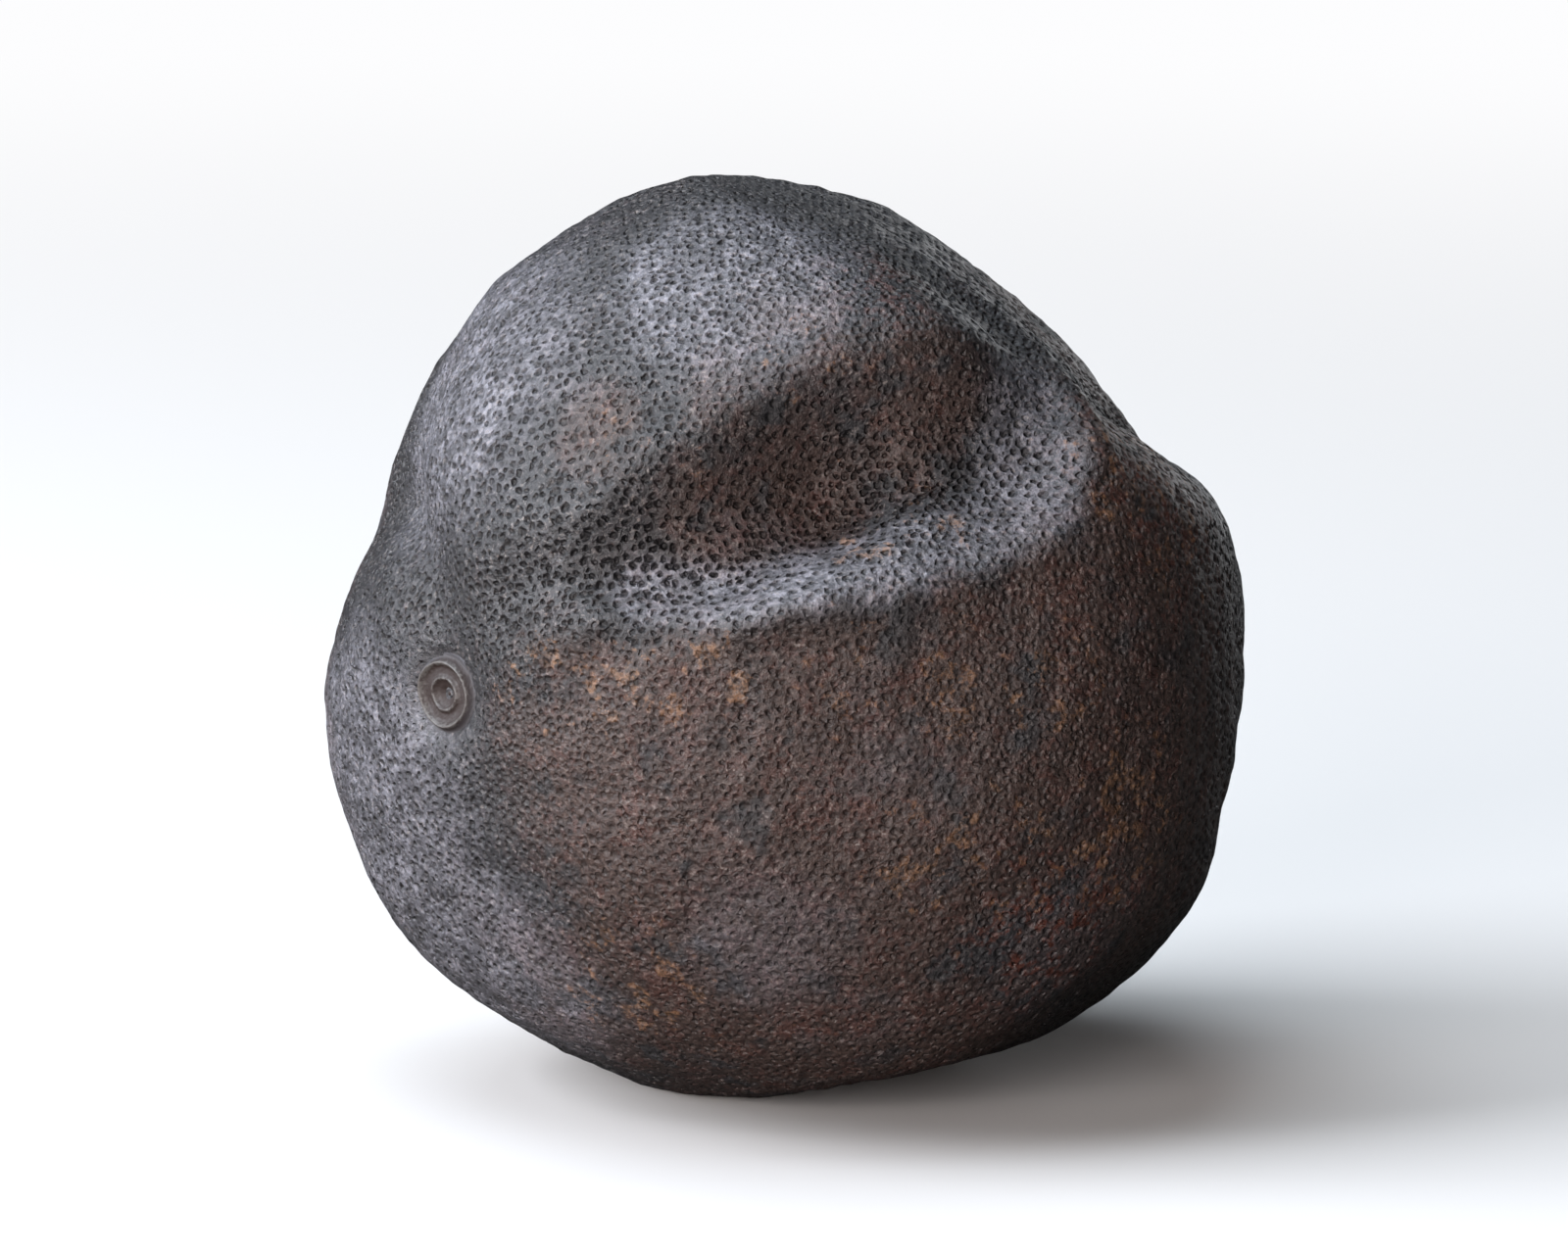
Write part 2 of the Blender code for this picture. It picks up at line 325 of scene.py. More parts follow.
# How the pores differ: in size, smaller beside the scar, in narrowness, in darkness, paler where the
# peel is brown, and in depth, least outside the dents
PORE_SIZE_SPREAD = 0.22
PORE_SIZE_AT_SCAR = 0.35
PORE_NARROWING = 0.7
PORE_PALENESS = 0.55
BROWN_PORE_PALENESS = 0.50
PORE_SINK_OUTSIDE = 0.5

# The spacing of an even pattern on a unit ball, times the root of its number of points, and the
# steps of the coarse pattern that the body's middle is measured with
EVEN_SPACING = math.sqrt(8.0 * math.pi / math.sqrt(3.0))
MIDDLE_STEPS = 12

# The noises in the peel and the scar: the size of each one's features
CLOUD_SIZE = 0.0060
BLOTCH_SIZE = 0.0024
WAX_SIZE = 0.0024
MOTTLE_SIZE = 0.0016
CLUSTER_SIZE = 0.0013
GRAIN_SIZE = 0.00040
WOBBLE_SIZE = 0.00030
FINE_GRAIN_SIZE = 0.00028
DUST_SIZE = 0.00022
WOOD_GRAIN_SIZE = 0.00016

# The peel's colour: how much of each colour the noises and patches give, from the ground up
BROWN_BY_CLOUD = Band(0.35, 0.70, -0.20, 0.30)
BROWN_BY_BLOTCH = Band(0.52, 0.64, 0.0, -0.55)
BROWN_COVER = Band(0.10, 0.90)
# The grey film's share, partly waxy bloom and partly painted sheen
FILM_AND_SHEEN_BY_CLOUD = Band(0.56, 0.64, 0.0, 0.25)
FILM_AND_SHEEN_BY_MOTTLE = Band(0.30, 0.70, 0.35, 1.0)
FILM_AND_SHEEN_BY_GRAIN = Band(0.35, 0.65, 0.45, 1.30)
FILM_AND_SHEEN_COVER = Band(0.0, 1.0, 0.05, 0.80)
RED_IN_BROWN = 0.45
RED_BY_GRAIN = Band(0.95, 1.20)
SPECKS_IN_BROWN = 0.35
SPECKS_BY_CLUSTER = Band(0.46, 0.60, 0.25, 1.0)
SPECK_LIMIT = Band(0.0, 1.2, 0.68, 0.44)
SPECK_SHARPNESS = 5.0
SPECK_COVER = 0.65
TONE_BY_DUST = Band(0.30, 0.70, 0.50, 1.60)
# Painted glints: pale specks from the finest noise that stand in for sparkles of light on the grain
PAINTED_GLINT_BY_DUST = Band(0.57, 0.68, 0.0, 0.70)
PAINTED_GLINT_BY_MOTTLE = Band(0.40, 0.60, 0.3, 1.0)

# The pits: their edge in shares of the pore's radius, how far the edge wavers, how dark they are, partly
# their own colour and partly painted shade in the hollow, and how many times deeper the deepest dent's
# pits look
PIT_EDGE = Band(0.25, 1.30, 1.0, 0.0)
PIT_WOBBLE = 0.00032
PIT_COLOUR_AND_SHADE_COVER = 0.88
HOLLOW_DEEPENING = 3.0

# Roughness of the peel, and the height of its finest grain
ROUGH_BY_WAX = Band(0.30, 0.70, -0.07, 0.09)
ROUGH_BY_GRAIN = Band(0.30, 0.70, -0.06, 0.06)
PIT_ROUGHNESS = 0.22
BROWN_ROUGHNESS = 0.10
RED_GLOSS = 0.08
GRAIN_HEIGHT = 0.00015

# The scar's tone, roughness and grain, and where the peel's own colour starts at its edge
WOOD_BY_GRAIN = Band(0.30, 0.70, -0.45, 0.45)
WOOD_COVER = Band(0.20, 1.00)
WOOD_ROUGHNESS = Band(-0.60, 0.80, 0.70, 0.46)
WOOD_GRAIN_HEIGHT = 0.00004
SCAR_EDGE = Band(0.70, 0.90)
# The scar's edge takes a share of the peel's grey film, which is partly painted sheen
SCAR_EDGE_FILM_AND_SHEEN = 0.25


class PeelSettings(PropertyGroup):
    """Pores and finish of the peel."""
    pore_steps: IntProperty(
        name="Pore steps", default=50, min=8, max=55,
        description="Pores along one edge of each of the twenty faces that the pores are laid out on")
    pore_jitter: FloatProperty(
        name="Pore jitter", default=0.34, min=0.0, max=0.45, subtype="FACTOR",
        description="How far a pore strays from its place in the pattern, as a share of the spacing")
    pore_seed: IntProperty(name="Pore seed", default=3, description="Seed of the pores' places and sizes")
    pore_radius: FloatProperty(
        name="Pore radius", default=0.00015, min=0.00005, max=0.0003, subtype="DISTANCE", unit="LENGTH",
        precision=5, description="Radius of a middling pore")
    pore_depth: FloatProperty(
        name="Pore depth", default=0.00017, min=0.0, max=0.0002, subtype="DISTANCE", unit="LENGTH",
        precision=5, description="Depth of a middling pore")
    charcoal: FloatVectorProperty(
        name="Charcoal", default=(0.018, 0.017, 0.018), min=0.0, max=1.0, subtype="COLOR",
        description="Colour of the darker peel")
    brown: FloatVectorProperty(
        name="Brown", default=(0.041, 0.025, 0.020), min=0.0, max=1.0, subtype="COLOR",
        description="Colour of the browner peel")
    red_brown: FloatVectorProperty(
        name="Red-brown", default=(0.070, 0.020, 0.012), min=0.0, max=1.0, subtype="COLOR",
        description="Colour of the reddest patches")
    ochre: FloatVectorProperty(
        name="Ochre", default=(0.185, 0.098, 0.050), min=0.0, max=1.0, subtype="COLOR",
        description="Colour of the small bright specks")
    # Painted sheen: this pale bluish grey is partly the peel's waxy bloom and partly painted sheen of the
    # lights on the top, the left side and the dent's lip
    bloom_and_sheen: FloatVectorProperty(
        name="Bloom", default=(0.178, 0.176, 0.200), min=0.0, max=1.0, subtype="COLOR",
        description="Colour of the waxy grey film on the net between the pores")
    # Painted glints: these pale grains stand in for sparkles of light on the peel
    pale: FloatVectorProperty(
        name="Pale grains", default=(0.200, 0.175, 0.160), min=0.0, max=1.0, subtype="COLOR",
        description="Colour of the finest pale grains")
    # Painted shade: the near-black at the bottom of a pore is partly its own colour and partly painted
    # shade in the hollow
    pit: FloatVectorProperty(
        name="Pit", default=(0.004, 0.003, 0.003), min=0.0, max=1.0, subtype="COLOR",
        description="Colour at the bottom of a pore")
    roughness: FloatProperty(
        name="Roughness", default=0.38, min=0.0, max=1.0, subtype="FACTOR",
        description="Roughness of the waxy net between the pores")


class StemSettings(PropertyGroup):
    """Finish of the stem scar."""
    wood: FloatVectorProperty(
        name="Wood", default=(0.080, 0.073, 0.068), min=0.0, max=1.0, subtype="COLOR",
        description="Colour of the scar's rims")
    groove: FloatVectorProperty(
        name="Groove", default=(0.020, 0.011, 0.009), min=0.0, max=1.0, subtype="COLOR",
        description="Colour of the scar's grooves")


class StageSettings(PropertyGroup):
    """Floor, lights and camera."""
    view_turn: FloatProperty(
        name="View turn", default=0.0, subtype="ANGLE", unit="ROTATION",
        description="Heading of the camera round the lime, 0 at the front")
    view_rise: FloatProperty(
        name="View rise", default=math.radians(10.0), subtype="ANGLE", unit="ROTATION",
        description="Angle at which the camera looks down")
    view_distance: FloatProperty(
        name="View distance", default=0.362, min=0.1, max=2.0, subtype="DISTANCE", unit="LENGTH",
        description="From the camera to the middle of the lime")
    lens: FloatProperty(name="Lens", default=200.0, min=35.0, max=300.0, unit="CAMERA",
                        description="Focal length in millimetres")
    top_power: FloatProperty(name="Top light", default=3.0, min=0.0, max=50.0, unit="POWER",
                             description="Power of the cool soft light overhead")
    key_power: FloatProperty(name="Key light", default=6.3, min=0.0, max=50.0, unit="POWER",
                             description="Power of the soft light high at the left")
    low_power: FloatProperty(name="Low light", default=8.2, min=0.0, max=50.0, unit="POWER",
                             description="Power of the warm soft light low in front, at the left")
    back_power: FloatProperty(name="Back light", default=0.9, min=0.0, max=50.0, unit="POWER",
                              description="Power of the weak soft light low behind, at the right")
    backdrop: FloatVectorProperty(
        name="Backdrop", default=(0.98, 0.98, 0.99), min=0.0, max=1.0, subtype="COLOR",
        description="Tone of the backdrop and of the floor far from the lime")
    fill: FloatProperty(name="Fill", default=0.02, min=0.0, max=2.0,
                        description="Strength of the light from all round")


def heading_vector(turn, rise):
    """The unit vector of a heading."""
    turn = math.radians(turn)
    rise = math.radians(rise)
    return np.array((math.sin(turn) * math.cos(rise), -math.cos(turn) * math.cos(rise), math.sin(rise)))


def compass(axis):
    """Two unit vectors square to an axis: up along the fruit, and to the right as seen from outside."""
    up = np.array((0.0, 0.0, 1.0)) - axis * axis[2]
    up /= np.linalg.norm(up)
    return up, np.cross(up, axis)


def unit(vectors):
    """Each vector divided by its length."""
    return vectors / np.linalg.norm(vectors, axis=-1, keepdims=True)


def angle_from(directions, axis):
    """The angle of each direction from an axis, in radians."""
    return np.arccos(np.clip(directions @ axis, -1.0, 1.0))


def bearing_round(directions, axis):
    """The bearing of each direction round an axis, in degrees: 0 is up and 90 to the right."""
    up, right = compass(axis)
    return np.degrees(np.arctan2(directions @ right, directions @ up))


def fade(share):
    """A bump that is 1 at 0 and falls smoothly to 0 at -1 and 1: one minus the square, squared."""
    return np.clip(1.0 - share * share, 0.0, 1.0) ** 2


def ease(value, low, high):
    """0 below low, 1 above high, and a smooth step between: three squares less two cubes."""
    share = np.clip((value - low) / (high - low), 0.0, 1.0)
    return share * share * (3.0 - 2.0 * share)


def ring_bump(distance, radius, width):
    """A rounded ridge at one distance from a middle point: a bell curve across it."""
    return np.exp(-(((distance - radius) / width) ** 2))


def body_radius(directions):
    """The oval body: an ellipsoid's radius, fuller at 45 degrees below level."""
    half_sizes = np.array((HALF_WIDTH, HALF_DEPTH, HALF_HEIGHT))
    radius = 1.0 / np.linalg.norm(directions / half_sizes, axis=1)
    rise = np.arcsin(np.clip(directions[:, 2], -1.0, 1.0))
    swell = np.where(rise < 0.0, np.sin(2.0 * rise) ** 2, 0.0)
    return radius * (1.0 + BELLY_SWELL * swell)


def press_flat(radius, directions, normal, reach, softness):
    """The smaller of the radius and the distance to a plane, blended where they meet."""
    slant = directions @ normal
    to_plane = np.where(slant > FLAT_SLANT, reach / np.maximum(slant, FLAT_SLANT), FAR_AWAY)
    return -softness * np.logaddexp(-radius / softness, -to_plane / softness)


def dent_depth(directions, dent):
    """The depth of a hollow: full in its middle, falling off over its half sizes."""
    axis = heading_vector(dent.turn, dent.rise)
    up, right = compass(axis)
    roll = math.radians(dent.roll)
    long_axis = right * math.cos(roll) + up * math.sin(roll)
    short_axis = up * math.cos(roll) - right * math.sin(roll)
    along = directions @ long_axis * HALF_WIDTH
    across = directions @ short_axis * HALF_WIDTH - dent.lean * along
    half_width = np.where(across > 0.0, dent.above, dent.below)
    share = np.abs(across / half_width)
    share = np.where(across > 0.0, share**DENT_STEEPNESS, share)
    distance = np.hypot(np.abs(along / dent.along) ** DENT_SQUARENESS, share)
    facing = directions @ axis > 0.0
    return np.where(facing, dent.depth * fade(distance), 0.0)


def crease_depth(directions, crease):
    """The depth of a groove that follows part of a circle round its heading."""
    axis = heading_vector(crease.turn, crease.rise)
    off_line = (angle_from(directions, axis) - math.radians(crease.opening)) * HALF_WIDTH
    off_middle = bearing_round(directions, axis) - crease.bearing
    off_middle = (off_middle + 180.0) % 360.0 - 180.0
    return crease.depth * np.exp(-((off_line / crease.width) ** 2)) * fade(off_middle / crease.span)


def furrow_depth(directions, furrow):
    """The depth of a furrow that runs from the stem end towards the blossom end."""
    axis = heading_vector(*STEM_HEADING)
    angle = np.degrees(angle_from(directions, axis))
    share = (angle - furrow.start) / (furrow.end - furrow.start)
    bearing = bearing_round(directions, axis) - furrow.bearing - furrow.drift * np.sin(math.pi * share)
    bearing = (bearing + 180.0) % 360.0 - 180.0
    off_line = np.radians(bearing) * np.sin(np.radians(angle)) * HALF_WIDTH
    return furrow.depth * np.exp(-((off_line / furrow.width) ** 2)) * fade(2.0 * share - 1.0)


def from_stem(directions):
    """How far along the peel each direction is from the middle of the stem scar."""
    return angle_from(directions, heading_vector(*STEM_HEADING)) * HALF_WIDTH


def stem_hollow(directions):
    """The shallow hollow that the stem scar lies in."""
    return -STEM_HOLLOW_DEPTH * fade(from_stem(directions) / STEM_HOLLOW_RADIUS)


def scar_relief(distance):
    """The scar's height at a distance from its middle: moat, rim, hub, pit and the dot in the pit,
    each a bell curve."""
    height = -SCAR_MOAT_DEPTH * ring_bump(distance, SCAR_MOAT_RADIUS, SCAR_MOAT_WIDTH)
    height += SCAR_RIM_HEIGHT * ring_bump(distance, SCAR_RIM_RADIUS, SCAR_RIM_WIDTH)
    height += SCAR_HUB_HEIGHT * ring_bump(distance, SCAR_HUB_RADIUS, SCAR_HUB_WIDTH)
    height += SCAR_DOT_HEIGHT * ring_bump(distance, 0.0, SCAR_DOT_RADIUS)
    return height - SCAR_PIT_DEPTH * ring_bump(distance, 0.0, SCAR_PIT_RADIUS)


def tip_relief(directions):
    """The height of the blossom end: a low tip with a pit in it."""
    distance = angle_from(directions, -heading_vector(*STEM_HEADING)) * HALF_WIDTH
    height = TIP_HEIGHT * fade(distance / TIP_RADIUS)
    return height - TIP_PIT_DEPTH * ring_bump(distance, 0.0, TIP_PIT_RADIUS)


def wave_relief(directions, seed, sizes):
    """The height of slow unevenness: a sum of plane waves in seeded directions."""
    draw = np.random.default_rng(seed)
    height = np.zeros(len(directions))
    for waves_round, amplitude in sizes:
        for _ in range(WAVES_OF_EACH):
            axis = draw.normal(size=3)
            axis *= waves_round * draw.uniform(*WAVE_SPREAD) / np.linalg.norm(axis)
            height += amplitude * np.sin(directions @ axis + draw.uniform(0.0, 2.0 * math.pi))
    return height


def peel_radius(directions):
    """The peel's distance from the middle in each direction, without the stem scar."""
    radius = body_radius(directions)
    for flat in FLATS:
        radius = press_flat(radius, directions, heading_vector(flat.turn, flat.rise), flat.reach,
                            FLAT_SOFTNESS)
    for dent in DENTS:
        radius -= dent_depth(directions, dent)
    for crease in CREASES:
        radius -= crease_depth(directions, crease)
    for furrow in FURROWS:
        radius -= furrow_depth(directions, furrow)
    radius += stem_hollow(directions) + tip_relief(directions)
    radius += wave_relief(directions, WAVE_SEED, WAVE_SIZES)
    radius += wave_relief(directions, FINE_WAVE_SEED, FINE_WAVE_SIZES)
    down = np.array((0.0, 0.0, -1.0))
    return press_flat(radius, directions, down, FOOT_DROP, FOOT_SOFTNESS)


def body_middle():
    """The middle of the body in the frame: centred in the solid's box, the foot's drop above it."""
    low, high = FRUIT_BOX
    directions = pore_lattice(MIDDLE_STEPS)[0]
    points = directions * peel_radius(directions)[:, None]
    own = (points.min(axis=0) + points.max(axis=0)) / 2.0
    return np.array(((low.x + high.x) / 2.0 - own[0], (low.y + high.y) / 2.0 - own[1], low.z + FOOT_DROP))


def icosahedron():
    """The icosahedron's 12 corners, from the golden ratio, and its 20 faces, the triples of
    neighbouring corners, turned outwards."""
    golden = (1.0 + math.sqrt(5.0)) / 2.0
    first = np.array([(0.0, a, b * golden) for a in (-1.0, 1.0) for b in (-1.0, 1.0)])
    corners = np.concatenate((first, np.roll(first, 1, axis=1), np.roll(first, 2, axis=1)))
    triples = np.array(list(itertools.combinations(range(len(corners)), 3)))
    a, b, c = (corners[triples[:, side]] for side in range(3))
    sides = np.stack((a - b, b - c, c - a))
    faces = triples[(np.abs(np.linalg.norm(sides, axis=2) - 2.0) < 1e-6).all(axis=0)]
    a, b, c = (corners[faces[:, side]] for side in range(3))
    inwards = np.einsum("ij,ij->i", np.cross(b - a, c - a), a) < 0.0
    faces[inwards] = faces[inwards][:, (0, 2, 1)]
    return corners, faces


def pore_lattice(steps):
    """Even points on a unit ball and the triangles between them: each face of an icosahedron is
    split into steps by steps triangles, whose corners are pushed out to the ball."""
    corners, faces = icosahedron()
    column, row = np.meshgrid(np.arange(steps + 1), np.arange(steps + 1))
    inside = column + row <= steps
    order = np.full(inside.shape, -1)
    order[inside] = np.arange(inside.sum())
    column = column[inside]
    row = row[inside]
    shares = np.column_stack((steps - column - row, column, row)) / steps
    points = unit(np.einsum("ps,fsx->fpx", shares, corners[faces]))
    up = column + row < steps
    down = column + row < steps - 1
    here, right, above = order[row, column], order[row[up], column[up] + 1], order[row[up] + 1, column[up]]
    upright = np.column_stack((here[up], right, above))
    turned = np.column_stack((order[row[down], column[down] + 1],
                              order[row[down] + 1, column[down] + 1],
                              order[row[down] + 1, column[down]]))
    local = np.concatenate((upright, turned))
    each = len(here)
    triangles = (local[None] + each * np.arange(len(faces))[:, None, None]).reshape(-1, 3)
    keys = np.round(points.reshape(-1, 3), 7)
    _, first, merged = np.unique(keys, axis=0, return_index=True, return_inverse=True)
    return points.reshape(-1, 3)[first], merged.reshape(-1)[triangles]


def stray(directions, settings):
    """Each pore moved off its place: a random step along the ball, as a share of the spacing, which
    is that of an even pattern of triangles."""
    spacing = EVEN_SPACING / math.sqrt(len(directions))
    draw = np.random.default_rng(settings.pore_seed)
    step = draw.normal(size=directions.shape)
    step -= directions * np.einsum("ij,ij->i", step, directions)[:, None]
    reach = np.sqrt(draw.uniform(0.0, 1.0, len(directions))) * settings.pore_jitter * spacing
    return unit(directions + unit(step) * reach[:, None])


def pore_cells(directions, triangles):
    """The cell round each pore as a fan of small triangles, one for each side of each triangle of
    pores: from the pore at the side's start to the middles of the two triangles that share the side.
    Returns the directions of all points, the small triangles and the pore of each."""
    start = triangles.ravel()
    end = np.roll(triangles, -1, axis=1).ravel()
    key = start * len(directions) + end
    order = np.argsort(key)
    twin = order[np.searchsorted(key[order], end * len(directions) + start)]
    middles = unit(directions[triangles].sum(axis=1))
    left = len(directions) + np.arange(len(start)) // 3
    return np.concatenate((directions, middles)), np.column_stack((start, left[twin], left)), start


def patch_weight(directions, patches):
    """How much each direction lies in any of the patches: the strongest of flat-topped bell curves
    round them, the exponential of minus a power of the angle's share of the patch's size."""
    weight = np.zeros(len(directions))
    for patch in patches:
        angle = np.degrees(angle_from(directions, heading_vector(patch.turn, patch.rise)))
        weight = np.maximum(weight, patch.strength * np.exp(-((angle / patch.spread) ** PATCH_SHARPNESS)))
    return weight


def dent_share(directions):
    """How deep in a dent each direction is, from 0 outside to 1 at the deepest."""
    depth = sum(dent_depth(directions, dent) for dent in DENTS)
    return np.clip(depth / max(dent.depth for dent in DENTS), 0.0, 1.0)


def under_scar(directions, points):
    """The points, those under the stem scar pushed in by the scar's sink with a smooth step."""
    inside = 1.0 - ease(from_stem(directions), BUTTON_SINK_START * BUTTON_RADIUS, BUTTON_RADIUS)
    return points - directions * (BUTTON_SINK * inside)[:, None]


def pore_sizes(draw, directions, settings):
    """Each pore's radius: the middling one times a random share, smaller beside the stem scar."""
    size = settings.pore_radius * draw.lognormal(0.0, PORE_SIZE_SPREAD, len(directions))
    away = ease(from_stem(directions), BUTTON_RADIUS, 2.0 * BUTTON_RADIUS)
    return size * (PORE_SIZE_AT_SCAR + (1.0 - PORE_SIZE_AT_SCAR) * away)


def pore_offsets(draw, points, triangles, owner, pores):
    """Each triangle corner's offset from the middle of its pore, stretched along a random line, so
    that the pit is narrower along it."""
    offsets = points[triangles] - points[owner][:, None]
    line = unit(draw.normal(size=(pores, 3)))[owner][:, None]
    more = draw.uniform(0.0, PORE_NARROWING, pores)[owner][:, None, None]
    return offsets + more * line * np.einsum("ijk,ilk->ij", offsets, line)[:, :, None]


def pore_tones(draw, directions):
    """How dark each pore is: 1 less a random share squared, and less where the peel is brown."""
    tone = 1.0 - PORE_PALENESS * draw.uniform(0.0, 1.0, len(directions)) ** 2
    return tone * (1.0 - BROWN_PORE_PALENESS * patch_weight(directions, BROWN_PATCHES))


def new_mesh(name, points, triangles):
    """A smooth mesh from whole arrays of points and triangles."""
    mesh = bpy.data.meshes.new(name)
    mesh.vertices.add(len(points))
    mesh.vertices.foreach_set("co", points.astype(np.float32).ravel())
    mesh.loops.add(triangles.size)
    mesh.loops.foreach_set("vertex_index", triangles.astype(np.int32).ravel())
    mesh.polygons.add(len(triangles))
    mesh.polygons.foreach_set("loop_start", np.arange(0, triangles.size, 3, dtype=np.int32))
    mesh.update(calc_edges=True)
    mesh.shade_smooth()
    return mesh


def write_attribute(mesh, name, kind, domain, values):
    """One named attribute on a mesh, from a whole array."""
    layer = mesh.attributes.new(name, kind, domain)
    field = "vector" if kind == "FLOAT_VECTOR" else "value"
    layer.data.foreach_set(field, values.astype(np.float32).ravel())


def add_piece(name, mesh, material):
    """An object of the mesh, with the material in its slot, that rides on the lime."""
    mesh.materials.append(material)
    piece = bpy.data.objects.new(name, mesh)
    bpy.context.scene.collection.objects.link(piece)
    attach(piece, "root")
    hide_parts("black_lime")
    return piece


def new_node(tree, kind, inputs=(), **settings):
    """A node with its settings and inputs: a socket is linked and anything else is set."""
    node = tree.nodes.new(kind)
    for name, value in settings.items():
        setattr(node, name, value)
    for name, value in dict(inputs).items():
        if isinstance(value, bpy.types.NodeSocket):
            tree.links.new(value, node.inputs[name])
        else:
            node.inputs[name].default_value = value
    return node


def maths(tree, operation, *values):
    """A Math node's result."""
    return new_node(tree, "ShaderNodeMath", enumerate(values), operation=operation).outputs[0]


def vector_maths(tree, operation, inputs, output="Vector"):
    """A Vector Math node's result."""
    return new_node(tree, "ShaderNodeVectorMath", inputs, operation=operation).outputs[output]


def bump(tree, height, distance, normal=None):
    """The normal that a height of up to a distance gives, on top of another normal if one is given."""
    inputs = {"Height": height, "Strength": 1.0, "Distance": distance}
    if normal is not None:
        inputs["Normal"] = normal
    return new_node(tree, "ShaderNodeBump", inputs).outputs["Normal"]


def blend(tree, share, low, high):
    """Two colours mixed by a share."""
    node = new_node(tree, "ShaderNodeMix", data_type="RGBA")
    factor, a, b = (node.inputs[place] for place in (0, 6, 7))
    for socket, value in ((factor, share), (a, low), (b, high)):
        if isinstance(value, bpy.types.NodeSocket):
            tree.links.new(value, socket)
        else:
            socket.default_value = value
    return node.outputs[2]


def remap(tree, value, low, high, start=0.0, end=1.0):
    """A value from low to high taken smoothly to start to end."""
    inputs = {"Value": value, "From Min": low, "From Max": high, "To Min": start, "To Max": end}
    return new_node(tree, "ShaderNodeMapRange", inputs, interpolation_type="SMOOTHSTEP").outputs[0]


def noise(tree, place, size, detail=2.0, roughness=0.5, output="Fac"):
    """Noise with features of about a size in metres."""
    inputs = {"Vector": place, "Scale": 1.0 / size, "Detail": detail, "Roughness": roughness}
    return new_node(tree, "ShaderNodeTexNoise", inputs).outputs[output]


def attribute(tree, name, output="Fac"):
    """An attribute of the piece's mesh."""
    return new_node(tree, "ShaderNodeAttribute", attribute_name=name).outputs[output]


def opaque(colour):
    """A colour with full alpha."""
    return (*colour, 1.0)


def new_material(name):
    """A material, its node tree, its shader and the object's coordinates."""
    material = bpy.data.materials.new(name)
    material.use_nodes = True
    tree = material.node_tree
    shader = tree.nodes["Principled BSDF"]
    place = new_node(tree, "ShaderNodeTexCoord").outputs["Object"]
    return material, tree, shader, place


def peel_colour(tree, place, pit, settings):
    """Charcoal to brown by patches, clouds and blotches. Over it a grey layer by patches, partly waxy
    bloom and partly painted sheen and highlights, then red grains, clustered ochre specks, a fine
    unevenness in tone, painted pale glints, and the dark pits, partly their own colour and partly painted
    shade."""
    clouds = noise(tree, place, CLOUD_SIZE, detail=4.0, roughness=0.6)
    blotches = noise(tree, place, BLOTCH_SIZE, detail=3.0, roughness=0.6)
    mottle = noise(tree, place, MOTTLE_SIZE, detail=3.0, roughness=0.6)
    clusters = noise(tree, place, CLUSTER_SIZE)
    grains = noise(tree, place, GRAIN_SIZE, detail=4.0, roughness=0.7)
    dust = noise(tree, place, DUST_SIZE, detail=3.0, roughness=0.7)

    brown = maths(tree, "ADD", attribute(tree, "brown"), remap(tree, clouds, *BROWN_BY_CLOUD))
    brown = maths(tree, "ADD", brown, remap(tree, blotches, *BROWN_BY_BLOTCH))
    cover = remap(tree, brown, *BROWN_COVER)
    colour = blend(tree, cover, opaque(settings.charcoal), opaque(settings.brown))

    # Grey film: partly waxy bloom, partly painted sheen and highlights by its patches
    film_and_sheen_amount = maths(tree, "ADD", attribute(tree, "film"), remap(tree, clouds, *FILM_AND_SHEEN_BY_CLOUD))
    film = maths(tree, "MULTIPLY", remap(tree, mottle, *FILM_AND_SHEEN_BY_MOTTLE), remap(tree, film_and_sheen_amount, *FILM_AND_SHEEN_COVER))
    film = maths(tree, "MULTIPLY", film, remap(tree, grains, *FILM_AND_SHEEN_BY_GRAIN))
    colour = blend(tree, film, colour, opaque(settings.bloom_and_sheen))

    red = maths(tree, "MAXIMUM", attribute(tree, "red"), maths(tree, "MULTIPLY", brown, RED_IN_BROWN))
    red_grains = remap(tree, maths(tree, "ADD", grains, mottle), *RED_BY_GRAIN)
    colour = blend(tree, maths(tree, "MULTIPLY", red, red_grains), colour, opaque(settings.red_brown))

    likely = maths(tree, "ADD", attribute(tree, "specks"), maths(tree, "MULTIPLY", brown, SPECKS_IN_BROWN))
    likely = maths(tree, "MULTIPLY", likely, remap(tree, clusters, *SPECKS_BY_CLUSTER))
    over = maths(tree, "SUBTRACT", grains, remap(tree, likely, *SPECK_LIMIT))
    speck = maths(tree, "MAXIMUM", maths(tree, "MULTIPLY", over, SPECK_SHARPNESS), 0.0)
    colour = blend(tree, maths(tree, "MINIMUM", speck, SPECK_COVER), colour, opaque(settings.ochre))

    colour = vector_maths(tree, "SCALE", {0: colour, "Scale": remap(tree, dust, *TONE_BY_DUST)})
    # Painted glints: pale specks for the sparkle of the light
    painted_glint = remap(tree, mottle, *PAINTED_GLINT_BY_MOTTLE)
    painted_glint = maths(tree, "MULTIPLY", remap(tree, dust, *PAINTED_GLINT_BY_DUST), painted_glint)
    colour = blend(tree, painted_glint, colour, opaque(settings.pale))
    # Dark pits: partly their own colour, partly painted shade in the hollow
    return blend(tree, maths(tree, "MULTIPLY", pit, PIT_COLOUR_AND_SHADE_COVER), colour, opaque(settings.pit))


